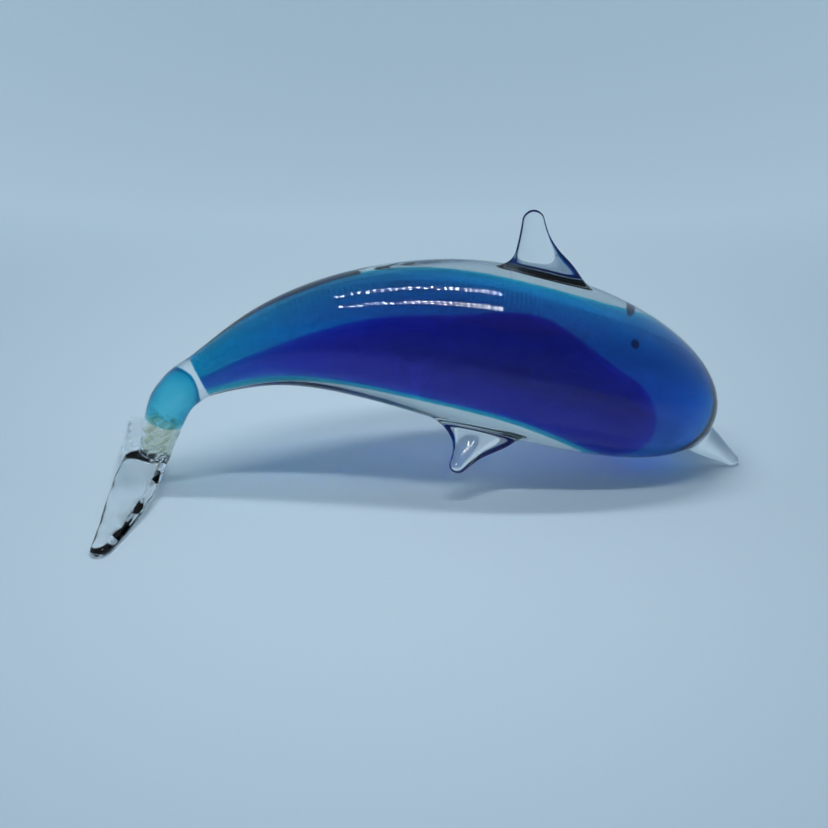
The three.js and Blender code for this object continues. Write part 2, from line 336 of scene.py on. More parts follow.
@dataclass
class Body:
    """The body's line, its outside and its two coloured layers.

    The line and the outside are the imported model's; the coloured layers lie a little off its own.
    """

    length: float = 152.0
    radius: float = 25.3
    tail_radius: float = 6.5
    waist_at: float = 0.607
    taper_power: float = 1.12
    head_fullness: float = 2.25
    head_bluntness: float = 2.2
    brow_overhang: float = 1.94
    overlay_end: float = 0.98
    overlay_rounding: float = 0.06
    core_end: float = 0.88
    core_rounding: float = 0.07
    probe: float = 0.02
    line: tuple = (
        (0, -10.5, 34.2),
        (0.13, -6, 41.6),
        (0.31, -1.5, 44),
        (0.526, 0, 40.2),
        (0.737, 0, 31.5),
        (0.9, 0, 21.4),
        (1, 0, 13.2),
    )

    def __post_init__(self) -> None:
        """Lay the centre line and fit the layers to it."""
        _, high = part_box("clear_casing")
        brow = high.x / MM - self.brow_overhang
        start = (brow - self.length / 2, high.y / MM - self.radius, 0)
        self.path = Path([((share - 0.5) * self.length, y, z) for share, y, z in self.line], start)
        self.overlay_share = stations(
            (0, 0.7), (0.13, 0.64), (0.3, 0.6), (0.42, 0.58), (0.55, 0.55),
            (0.65, 0.55), (0.73, 0.58), (0.82, 0.66), (0.92, 0.8), (1, 0.9),
        )
        self.overlay_lift = stations(
            (0, 0.1), (0.13, 0.06), (0.3, 0.04), (0.6, 0.0), (0.8, -0.02), (1, -0.02)
        )
        self.core_share = stations(
            (0, 0.3), (0.13, 0.36), (0.23, 0.46), (0.37, 0.57),
            (0.49, 0.64), (0.62, 0.75), (0.72, 0.64), (0.88, 0.46),
        )
        self.core_lift = stations(
            (0, -0.5), (0.13, -0.5), (0.23, -0.46), (0.37, -0.37),
            (0.49, -0.31), (0.62, -0.19), (0.72, -0.31), (0.88, -0.46),
        )

    def outside(self, t: np.ndarray) -> np.ndarray:
        """Return the outer radius at shares of the line."""
        t = np.asarray(t, float)
        swell = np.sin(np.pi / 2 * (np.clip(t, 0, self.waist_at) / self.waist_at) ** self.taper_power)
        rear = self.tail_radius + (self.radius - self.tail_radius) * swell
        u = np.clip((t - self.waist_at) / (1 - self.waist_at), 0, 1)
        head = self.radius * (1 - u**self.head_fullness) ** (1 / self.head_bluntness)
        return np.where(t < self.waist_at, rear, head)

    def height(self, points: np.ndarray) -> np.ndarray:
        """Return a smooth measure that is 0 on the outer surface and grows outwards."""
        t = self.path.nearest(points)
        away = np.linalg.norm(points - self.path.point(t), axis=-1)
        along = np.maximum((t - self.waist_at) / (1 - self.waist_at), 0)
        girth = np.where(t < self.waist_at, self.outside(t), self.radius)
        return (away / girth) ** self.head_bluntness + along**self.head_fullness - 1

    def offset(self, points: np.ndarray) -> tuple[np.ndarray, np.ndarray]:
        """Return how far points are from the outer surface, and the way out from it at each.

        Args:
            points: Rows of points, in millimetres.

        Returns:
            The distances, and one unit direction for each point.
        """
        steps = self.probe * np.eye(3)
        slopes = [self.height(points + step) - self.height(points - step) for step in steps]
        slope = np.stack(slopes, axis=-1) / (2 * self.probe)
        steepness = np.maximum(np.linalg.norm(slope, axis=-1, keepdims=True), LEAST_WIDTH)
        return self.height(points) / steepness[:, 0], slope / steepness

    def limb(self, grow: float = 0.0) -> Limb:
        """Return the outer form, grown all over by a clearance."""
        return Limb.rod(self.path, lambda t: self.outside(t) + grow)

    def overlay_radius(self, t: np.ndarray) -> np.ndarray:
        """Return the mid-blue layer's radius, before its end is rounded off."""
        return self.overlay_share(t) * self.outside(t)

    def overlay_rise(self, t: np.ndarray) -> np.ndarray:
        """Return how far the mid-blue layer's middle lies over the line."""
        return self.overlay_lift(t) * self.outside(t)

    def overlay(self, grow: float = 0.0) -> Limb:
        """Return the mid-blue layer, grown all over by a clearance."""

        def radius(t: np.ndarray) -> np.ndarray:
            """Return its radius along the line."""
            return self.overlay_radius(t) * round_off(t, self.overlay_end, self.overlay_rounding) + grow

        return Limb.rod(self.path, radius, self.overlay_rise)

    def core(self, grow: float = 0.0) -> Limb:
        """Return the cobalt core, grown all over by a clearance."""

        def radius(t: np.ndarray) -> np.ndarray:
            """Return its radius along the line."""
            full = self.core_share(t) * self.overlay_radius(t)
            return full * round_off(t, self.core_end, self.core_rounding) + grow

        def rise(t: np.ndarray) -> np.ndarray:
            """Return how far its middle lies over the line."""
            return self.overlay_rise(t) + self.core_lift(t) * self.overlay_radius(t)

        return Limb.rod(self.path, radius, rise)

    def over(
        self, at: float, degrees: float, radius: Shape, rise: Shape = np.zeros_like, above: float = 0.0
    ) -> tuple[np.ndarray, np.ndarray]:
        """Return a point over one of the body's surfaces and the way it faces.

        Args:
            at: Share of the body's line.
            degrees: Lean from straight up, towards the figurine's left.
            radius: The surface's radius along the line.
            rise: How far the surface's middle lies over the line.
            above: Distance out from the surface.

        Returns:
            The point in millimetres, and a unit direction.
        """
        t = np.array([at])
        side, up = self.path.across(t, SIDEWAYS)
        lean = math.radians(degrees)
        out = up[0] * math.cos(lean) + side[0] * math.sin(lean)
        point = self.path.point(t)[0] + up[0] * rise(t)[0] + out * (radius(t)[0] + above)
        return point, out


# ---- Grafts: limbs fused to the body's skin -----------------------------------------------------


@dataclass
class Graft:
    """A limb drawn onto the body and fused there, with a fillet round its foot.

    across is the share of the fillet's reach that is left on the blade's broad faces.
    """

    limb: Limb
    host: Body
    fillet: float
    across: float = 1.0
    rows: int = 64
    sides: int = 112
    lip: float = 0.04
    sunk: float = 0.9
    play: float = 0.02
    search: int = 500
    passes: int = 3

    def _crossing(self) -> np.ndarray:
        """Return, for each side of the section, the share of the path where it leaves the body."""
        grid = np.linspace(0, 1, self.search)
        points, _ = self.limb.surface(grid[:, None], turns(self.sides)[None])
        lip = self.host.head_bluntness * self.lip / self.host.radius
        height = self.host.height(points.reshape(-1, 3)).reshape(points.shape[:2]) - lip
        last = len(grid) - 1 - (height[::-1] < 0).argmax(0)
        last = np.clip(last, 0, len(grid) - 2)
        side = np.arange(self.sides)
        low, high = height[last, side], height[last + 1, side]
        return grid[last] + (grid[1] - grid[0]) * np.clip(-low / (high - low), 0, 1)

    def _flare(self, points: np.ndarray, facing: np.ndarray) -> np.ndarray:
        """Return points pushed out over the body by the fillet, each at the height that it had.

        Args:
            points: Points of the plain limb.
            facing: The way that each faces.

        Returns:
            The points, moved where the fillet reaches them.
        """
        height, out = self.host.offset(points)
        along = facing - out * (facing * out).sum(-1, keepdims=True)
        along /= np.maximum(np.linalg.norm(along, axis=-1, keepdims=True), LEAST_WIDTH)
        lengthwise = (along @ self.limb.sideways) ** 2
        reach = self.fillet * (self.across + (1 - self.across) * lengthwise)
        rise = np.clip(height / reach, 0, 1)
        push = reach * (1 - np.sqrt(1 - (1 - rise) ** 2))
        moved = points + along * push[:, None]
        for _ in range(self.passes):
            reached, way_out = self.host.offset(moved)
            moved -= way_out * (reached - height)[:, None]
        near = (rise < 1)[:, None]
        return np.where(near, moved, points)

    def _grown(self) -> list[np.ndarray]:
        """Return the visible rings, from the foot to the tip."""
        share = eased_steps(self.rows + 1)[:-1]
        start = self._crossing()
        t = start[None] + (1 - start[None]) * share[:, None]
        points, facing = self.limb.surface(t, turns(self.sides)[None])
        flared = self._flare(points.reshape(-1, 3), facing.reshape(-1, 3))
        return list(flared.reshape(points.shape))

    def skins(self) -> tuple[Skin, Skin]:
        """Return the limb and the cutter that makes its seat in the body."""
        rings = self._grown()
        foot = rings[0]
        up = self.host.offset(foot)[1].mean(0)
        up /= np.linalg.norm(up)
        outward = foot - foot.mean(0)
        outward -= up * (outward @ up)[:, None]
        outward /= np.linalg.norm(outward, axis=1, keepdims=True)
        sole = foot - up * self.sunk
        limb = Skin([sole, *rings], sole.mean(0), self.limb.pole(1.0), [(0, 1)])
        base = sole + (outward - up) * self.play
        top = foot + outward * self.play + up * self.sunk
        cutter = Skin([base, top], base.mean(0), top.mean(0) + up * self.fillet, [(0, 2)])
        return limb, cutter


# ---- Shader maths -------------------------------------------------------------------------------


class Kind(Enum):
    """The kinds of value that a socket carries."""

    NUMBER = "VALUE"
    VECTOR = "VECTOR"
    COLOUR = "RGBA"


class Signal:
    """An output socket, with arithmetic that adds nodes behind it."""

    MIX_A, MIX_B, MIX_RESULT = 6, 7, 2

    def __init__(self, tree: "Tree", socket: bpy.types.NodeSocket) -> None:
        """Wrap a socket of a tree."""
        self.tree = tree
        self.socket = socket

    def _join(self, operation: str, first: "Term", second: "Term") -> "Signal":
        """Return first and second put together by a Math, Vector Math or Mix node."""
        kind = Kind(self.socket.type)
        if kind is Kind.NUMBER:
            return self.tree.add("ShaderNodeMath", {"operation": operation}, {0: first, 1: second})
        if kind is Kind.VECTOR:
            return self.tree.add("ShaderNodeVectorMath", {"operation": operation}, {0: first, 1: second})
        settings = {"data_type": "RGBA", "blend_type": operation}
        values = {0: 1.0, self.MIX_A: first, self.MIX_B: second}
        return self.tree.add("ShaderNodeMix", settings, values, self.MIX_RESULT)

    def __add__(self, other: "Term") -> "Signal":
        """Return self + other."""
        return self._join("ADD", self, other)

    def __radd__(self, other: "Term") -> "Signal":
        """Return other + self."""
        return self._join("ADD", other, self)

    def __sub__(self, other: "Term") -> "Signal":
        """Return self - other."""
        return self._join("SUBTRACT", self, other)

    def __rsub__(self, other: "Term") -> "Signal":
        """Return other - self."""
        return self._join("SUBTRACT", other, self)

    def __mul__(self, other: "Term") -> "Signal":
        """Return self * other."""
        return self._join("MULTIPLY", self, other)

    def __rmul__(self, other: "Term") -> "Signal":
        """Return other * self."""
        return self._join("MULTIPLY", other, self)

    def between(self, low: "Term", high: "Term") -> "Signal":
        """Return colours mixed from low to high by this number."""
        settings = {"data_type": "RGBA"}
        values = {0: self, self.MIX_A: low, self.MIX_B: high}
        return self.tree.add("ShaderNodeMix", settings, values, self.MIX_RESULT)


Term = Signal | float | tuple[float, ...]


class Tree:
    """A material's nodes, added one at a time."""

    def __init__(self, name: str) -> None:
        """Make a material with an empty tree."""
        self.material = bpy.data.materials.new(name)
        self.material.use_nodes = True
        self.nodes = self.material.node_tree.nodes
        self.links = self.material.node_tree.links
        self.nodes.clear()

    def add(self, node_type: str, settings: dict, values: dict, output: int | str = 0) -> Signal:
        """Return one output of a new node.

        Args:
            node_type: The node's type.
            settings: Properties of the node, set before its sockets; ramp stops under "stops".
            values: A number, a tuple or a Signal for each socket, by name or place.
            output: Which output to return.

        Returns:
            The output, ready for arithmetic.
        """
        node = self.nodes.new(node_type)
        for name, setting in settings.items():
            if name == "stops":
                self._set_stops(node.color_ramp, setting)
            else:
                setattr(node, name, setting)
        for place, value in values.items():
            socket = node.inputs[place]
            if isinstance(value, Signal):
                self.links.new(value.socket, socket)
            elif isinstance(value, tuple) and socket.type == Kind.COLOUR.value and len(value) == 3:
                socket.default_value = (*value, 1.0)
            elif isinstance(value, (int, float)) and socket.type == Kind.VECTOR.value:
                socket.default_value = (value, value, value)
            else:
                socket.default_value = value
        outputs = [socket for socket in node.outputs if socket.enabled] if output == 0 else node.outputs
        return Signal(self, outputs[output]) if len(node.outputs) else Signal(self, None)

    @staticmethod
    def _set_stops(ramp: bpy.types.ColorRamp, stops: Sequence[tuple[float, float]]) -> None:
        """Set a ramp's stops from (place, grey) pairs."""
        while len(ramp.elements) < len(stops):
            ramp.elements.new(1.0)
        for element, (place, grey) in zip(ramp.elements, stops):
            element.position = place
            element.color = (grey, grey, grey, 1.0)

    def position(self) -> Signal:
        """Return the place on the object, in metres."""
        return self.add("ShaderNodeTexCoord", {}, {}, "Object")

    def noise(self, place: Signal, scale: float, detail: float = 2.0) -> Signal:
        """Return smooth noise from 0 to 1."""
        values = {"Vector": place, "Scale": scale, "Detail": detail}
        return self.add("ShaderNodeTexNoise", {}, values, "Fac")

    def ramp(self, amount: Signal, stops: Sequence[tuple[float, float]]) -> Signal:
        """Return an amount run through (place, grey) stops."""
        return self.add("ShaderNodeValToRGB", {"stops": stops}, {"Fac": amount})

    def finished(self, values: dict, volume: dict | None = None) -> bpy.types.Material:
        """Return the material, ended in a Principled shader and an absorbing volume if it has one."""
        ends = {"Surface": self.add("ShaderNodeBsdfPrincipled", {}, values)}
        if volume:
            ends["Volume"] = self.add("ShaderNodeVolumeAbsorption", {}, volume)
        self.add("ShaderNodeOutputMaterial", {}, ends)
        return self.material


# ---- Finishes -----------------------------------------------------------------------------------


WHITE = (1.0, 1.0, 1.0)


class Face(Enum):
    """What a face of a piece is, which is also its material slot."""

    OPEN = 0
    FUSED = 1


class Finish:
    """A material that is made the first time that it is asked for."""

    name: str

    def material(self) -> bpy.types.Material:
        """Return a new material."""
        raise NotImplementedError

    def shared(self) -> bpy.types.Material:
        """Return the one material of this finish."""
        return bpy.data.materials.get(self.name) or self.material()


@dataclass(frozen=True)
class Crystal(Finish):
    """Fire-polished clear crystal, with the faint cords and ripples that hand work leaves."""

    name: str = "drawn_crystal"
    slot: str = "clear_crystal"
    tint: tuple[float, float, float] = (0.985, 0.995, 1.0)
    cord_tint: tuple[float, float, float] = (0.95, 0.975, 0.985)
    ior: float = 1.5
    ripple: float = 0.03
    ripple_height: float = 0.001
    polish: float = 0.006
    drawn: tuple[float, float, float] = (14.0, 60.0, 60.0)
    cord_scale: float = 1.6
    ripple_scale: float = 150.0
    smear_scale: float = 420.0

    def material(self) -> bpy.types.Material:
        """Return the material of its open faces."""
        tree = Tree(self.name)
        place = tree.position()
        cords = tree.noise(place * self.drawn, self.cord_scale, 3.0)
        ripples = tree.noise(place, self.ripple_scale, 1.0)
        smears = tree.noise(place, self.smear_scale)
        bump = {"Strength": self.ripple, "Distance": self.ripple_height, "Height": ripples}
        values = {
            "Base Color": cords.between(self.tint, self.cord_tint),
            "Roughness": smears * self.polish,
            "IOR": self.ior,
            "Transmission Weight": 1.0,
            "Normal": tree.add("ShaderNodeBump", {}, bump, "Normal"),
        }
        return tree.finished(values)


@dataclass(frozen=True)
class Fused(Finish):
    """The face of a piece where it is melted to its neighbour: the same glass goes on behind it."""

    name: str = "fused_face"
    veil: tuple[float, float, float] = (0.985, 0.985, 0.985)
    wisp_scale: float = 220.0

    def material(self) -> bpy.types.Material:
        """Return the material of the fused faces."""
        tree = Tree(self.name)
        wisps = tree.ramp(tree.noise(tree.position(), self.wisp_scale, 3.0), ((0.45, 0.0), (0.8, 1.0)))
        values = {
            "Base Color": wisps.between(WHITE, self.veil),
            "Roughness": 0.0,
            "IOR": 1.0,
            "Transmission Weight": 1.0,
        }
        return tree.finished(values)


@dataclass(frozen=True)
class Coloured(Finish):
    """Glass coloured in the mass, fused into clear glass all round.

    A metre of it takes up (1 - through) * density of each colour, as an absorption coefficient.
    """

    name: str
    slot: str
    through: tuple[float, float, float]
    density: float
    streak: tuple[float, float, float]
    ior: float = 1.0
    drawn: tuple[float, float, float] = (9.0, 80.0, 80.0)
    streak_scale: float = 2.2

    def material(self) -> bpy.types.Material:
        """Return the material of the whole layer."""
        tree = Tree(self.name)
        noise = tree.noise(tree.position() * self.drawn, self.streak_scale, 4.0)
        streaks = tree.ramp(noise, ((0.4, 0.0), (0.75, 1.0)))
        values = {
            "Base Color": streaks.between(WHITE, self.streak),
            "Roughness": 0.0,
            "IOR": self.ior,
            "Transmission Weight": 1.0,
        }
        return tree.finished(values, {"Color": self.through, "Density": self.density})


CRYSTAL = Crystal()
FUSED = Fused()
SKY_BLUE = Coloured("sky_blue_layer", "blue_glass", (0.024, 0.918, 0.9945), 820.0, (0.86, 0.93, 0.98))
COBALT = Coloured("cobalt_core_glass", "cobalt_glass", (0.06, 0.72, 0.975), 1600.0, (0.7, 0.8, 0.95))
GATHER = Coloured("gather_tint", "clear_crystal", (0.4, 0.57, 0.57), 6.0, (0.96, 0.98, 0.96))
STEM_BLUE = Coloured("stem_blue_glass", "blue_glass", (0.1, 0.81, 0.89), 2400.0, (0.8, 0.9, 0.95))
SMOKE = Coloured("smoky_strand", "clear_crystal", (0.6, 0.64, 0.4), 220.0, (0.85, 0.85, 0.78), 0.95)
# dark glass of the two dots that paint a reflection on the head
PAINTED_REFLECTION_GLASS = Coloured("ink_dot_glass", "dark_glass", (0.05, 0.12, 0.35), 1500.0, (0.75, 0.75, 0.85))


# ---- Making and dressing pieces -----------------------------------------------------------------


def placed(name: str, data: bpy.types.ID) -> bpy.types.Object:
    """Return a new object of the scene that holds the data."""
    thing = bpy.data.objects.new(name, data)
    bpy.context.scene.collection.objects.link(thing)
    return thing


def dress(mesh: bpy.types.Mesh, finish: Crystal | Coloured) -> None:
    """Give a mesh its glass, and fused faces too if it is clear."""
    if not mesh.materials:
        mesh.materials.append(finish.shared())
        if isinstance(finish, Crystal):
            mesh.materials.append(FUSED.shared())


def make_piece(
    name: str, mesh: bpy.types.Mesh, finish: Crystal | Coloured, *nodes: str
) -> bpy.types.Object:
    """Return a piece of the figurine that stands for CAD nodes.

    Args:
        name: The piece's name.
        mesh: Its mesh, in millimetres.
        finish: Its glass.
        nodes: The CAD nodes that it replaces.

    Returns:
        The object, dressed and riding on the root body.
    """
    mesh.transform(Matrix.Scale(MM, 4))
    piece = placed(name, mesh)
    dress(mesh, finish)
    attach(piece, "root")
    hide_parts(*nodes)
    LOG.info("%s: %d faces, stands for %s", name, len(mesh.polygons), ", ".join(nodes))
    return piece


def joined(skins: Sequence[Skin], name: str) -> bpy.types.Mesh:
    """Return one mesh that holds several skins."""
    whole = bmesh.new()
    for skin in skins:
        part = skin.to_mesh(name)
        whole.from_mesh(part)
        bpy.data.meshes.remove(part)
    mesh = bpy.data.meshes.new(name)
    whole.to_mesh(mesh)
    whole.free()
    return mesh


def modified(mesh: bpy.types.Mesh, *modifiers: tuple[str, dict]) -> bpy.types.Mesh:
    """Return the mesh with modifiers applied.

    Args:
        mesh: The mesh, which is used up.
        modifiers: The type and settings of each, in order.

    Returns:
        A new mesh of the same name.
    """
    holder = placed("holder", mesh)
    for kind, settings in modifiers:
        modifier = holder.modifiers.new(kind, kind)
        for name, setting in settings.items():
            setattr(modifier, name, setting)
    bpy.context.view_layer.update()
    evaluated = holder.evaluated_get(bpy.context.evaluated_depsgraph_get())
    result = bpy.data.meshes.new_from_object(evaluated)
    bpy.data.objects.remove(holder)
    name = mesh.name
    bpy.data.meshes.remove(mesh)
    result.name = name
    return result


def seated(mesh: bpy.types.Mesh, cutters: Sequence[Skin]) -> bpy.types.Mesh:
    """Return the mesh with a seat cut for each graft; the seats' faces are fused ones."""
    tool_mesh = joined(cutters, "seats")
    dress(mesh, CRYSTAL)
    dress(tool_mesh, CRYSTAL)
    tool = placed("seats", tool_mesh)
    settings = {"operation": "DIFFERENCE", "solver": "EXACT", "object": tool}
    result = modified(mesh, ("BOOLEAN", settings))
    bpy.data.objects.remove(tool)
    bpy.data.meshes.remove(tool_mesh)
    return result


def sliced(mesh: bpy.types.Mesh, point: np.ndarray, keep: np.ndarray, face: Face) -> bpy.types.Mesh:
    """Return the part of a mesh on one side of a plane, with the cut closed.

    Args:
        mesh: The mesh, which is kept as it is.
        point: A point on the plane, in millimetres.
        keep: The direction of the side that stays.
        face: What the cut face is.

    Returns:
        A new mesh of the same name.
    """
    part = bmesh.new()
    part.from_mesh(mesh)
    everything = [*part.verts, *part.edges, *part.faces]
    bmesh.ops.bisect_plane(
        part, geom=everything, plane_co=Vector(point), plane_no=Vector(keep), clear_inner=True, dist=1e-5
    )
    rim = [edge for edge in part.edges if edge.is_boundary]
    closed = bmesh.ops.holes_fill(part, edges=rim, sides=0)["faces"]
    for cap in closed:
        cap.material_index = face.value
        cap.smooth = False
    bmesh.ops.triangulate(part, faces=closed)
    result = bpy.data.meshes.new(mesh.name)
    part.to_mesh(result)
    part.free()
    return result


# ---- The cased body -----------------------------------------------------------------------------


@dataclass
class CasedBody:
    """The clear casing and the two coloured layers inside it, each a shell round the next."""

    body: Body
    gap: float = 0.05
    sides: int = 160
    casing_rings: int = 240
    layer_rings: int = 160
    lining_end: float = 0.999

    def _shell(self, outer: Limb, ends: float, inner: Limb, inner_ends: float, fused: bool) -> Skin:
        """Return a shell that is open at the tail join, its wall running from inner to outer.

        Args:
            outer: The outside of the wall.
            ends: Share of the line where the outside ends.
            inner: The inside of the wall.
            inner_ends: Share of the line where the inside ends.
            fused: Whether the inside is fused to what it holds.

        Returns:
            The shell's skin.
        """
        out_steps = cosine_steps(0, ends, self.casing_rings + 1)[:-1]
        in_steps = cosine_steps(0, inner_ends, self.layer_rings + 1)[:-1]
        inside = inner.rings(in_steps, self.sides)[::-1]
        outside = outer.rings(out_steps, self.sides)
        welds = [(0, len(inside))] if fused else []
        return Skin([*inside, *outside], inner.pole(inner_ends), outer.pole(ends), welds)

    def build(self, cutters: Sequence[Skin]) -> None:
        """Make the three layers, with the seats for the grafts cut into the casing."""
        body = self.body
        end, core_end = body.overlay_end, body.core_end
        hollow = body.overlay(self.gap)
        casing = seated(self._shell(body.limb(), 1.0, hollow, end, True).to_mesh("casing"), cutters)
        casing.set_sharp_from_angle(angle=SHARP)
        make_piece("casing", casing, CRYSTAL, "clear_casing")
        lining = self._shell(body.limb(-self.gap), self.lining_end, hollow, end, False)
        make_piece("gather", lining.to_mesh("gather"), GATHER, "clear_casing")
        blue = self._shell(body.overlay(), end, body.core(self.gap), core_end, False)
        make_piece("blue_layer", blue.to_mesh("blue_layer"), SKY_BLUE, "blue_overlay")
        core = body.core().skin(0, core_end, self.layer_rings, self.sides)
        make_piece("cobalt_layer", core.to_mesh("cobalt_layer"), COBALT, "cobalt_core")


# ---- Fins and beak ------------------------------------------------------------------------------


@dataclass
class DorsalFin:
    """The fin on the back: a thin upright blade whose foot spreads over the body."""

    body: Body
    at: float = 0.6
    line: tuple = ((-1.0, 0, -9.5), (-1.2, 0, 0), (-2.6, 0, 8.5), (-3.6, 0, 18.9))
    chord: float = 23.0
    thickness: float = 8.0
    tip: float = 0.09

    def graft(self) -> Graft:
        """Return the fin and its fillet."""
        seat, _ = self.body.over(self.at, 0, self.body.outside)
        width = stations((0, 1.15), (0.33, 0.95), (0.47, 0.69), (0.62, 0.48), (0.8, 0.33), (1, 0.23))
        depth = stations((0, 1), (0.35, 0.72), (0.55, 0.45), (0.8, 0.32), (1, 0.22))
        wide, deep = blunted(self.chord, width, self.tip), blunted(self.thickness, depth, self.tip)
        limb = Limb(Path(self.line, seat), FORWARDS, wide, deep)
        return Graft(limb, self.body, fillet=4.6, across=0.3)


@dataclass
class PectoralFin:
    """A fin on the side of the belly."""

    body: Body
    side: int
    at: float = 0.555
    lean: float = 32.0
    line: tuple = ((1.1, -5.7, 5.4), (-1.4, 2.8, -0.5), (-8, 12.4, -7.5))
    chord: float = 27.0
    thickness: float = 5.6
    tip: float = 0.07

    def graft(self) -> Graft:
        """Return the fin and its fillet."""
        seat, _ = self.body.over(self.at, self.side * (180 - self.lean), self.body.outside)
        width = stations((0, 1), (0.35, 0.9), (0.62, 0.42), (0.85, 0.22), (1, 0.14))
        depth = stations((0, 1), (0.4, 0.8), (1, 0.5))
        wide, deep = blunted(self.chord, width, self.tip), blunted(self.thickness, depth, self.tip)
        path = Path([(x, y * self.side, z) for x, y, z in self.line], seat)
        limb = Limb(path, FORWARDS, wide, deep)
        return Graft(limb, self.body, fillet=2.6, across=0.6)


@dataclass
class Beak:
    """The short beak drawn down from the brow to the ground."""

    body: Body
    line: tuple = ((-6.5, 0, -0.7), (10.6, 0, -12.9))
    wide: float = 12.5
    deep: float = 11.0
    tip: float = 0.07

    def graft(self) -> Graft:
        """Return the beak and its fillet."""
        taper = stations((0, 1), (0.5, 0.74), (0.8, 0.44), (1, 0.3))
        wide, deep = blunted(self.wide, taper, self.tip), blunted(self.deep, taper, self.tip)
        limb = Limb(Path(self.line, self.body.path.point(np.array([1.0]))[0]), SIDEWAYS, wide, deep)
        return Graft(limb, self.body, fillet=1.6)


def build_grafts(body: Body) -> list[Skin]:
    """Make the fins and the beak, and return the cutters for their seats."""
    grafts = {
        "dorsal": (DorsalFin(body).graft(), "dorsal_fin"),
        "pectoral_near": (PectoralFin(body, -1).graft(), "pectoral_fin_right"),
        "pectoral_far": (PectoralFin(body, 1).graft(), "pectoral_fin_left"),
        "snout": (Beak(body).graft(), "beak"),
    }
    cutters = []
    for name, (graft, node) in grafts.items():
        limb, cutter = graft.skins()
        mesh = sliced(limb.to_mesh(name), GROUND_GAP * UPWARDS, UPWARDS, Face.OPEN)
        mesh.set_sharp_from_angle(angle=SHARP)
        make_piece(name, mesh, CRYSTAL, node)
        cutters.append(cutter)
    return cutters


# ---- The tail -----------------------------------------------------------------------------------


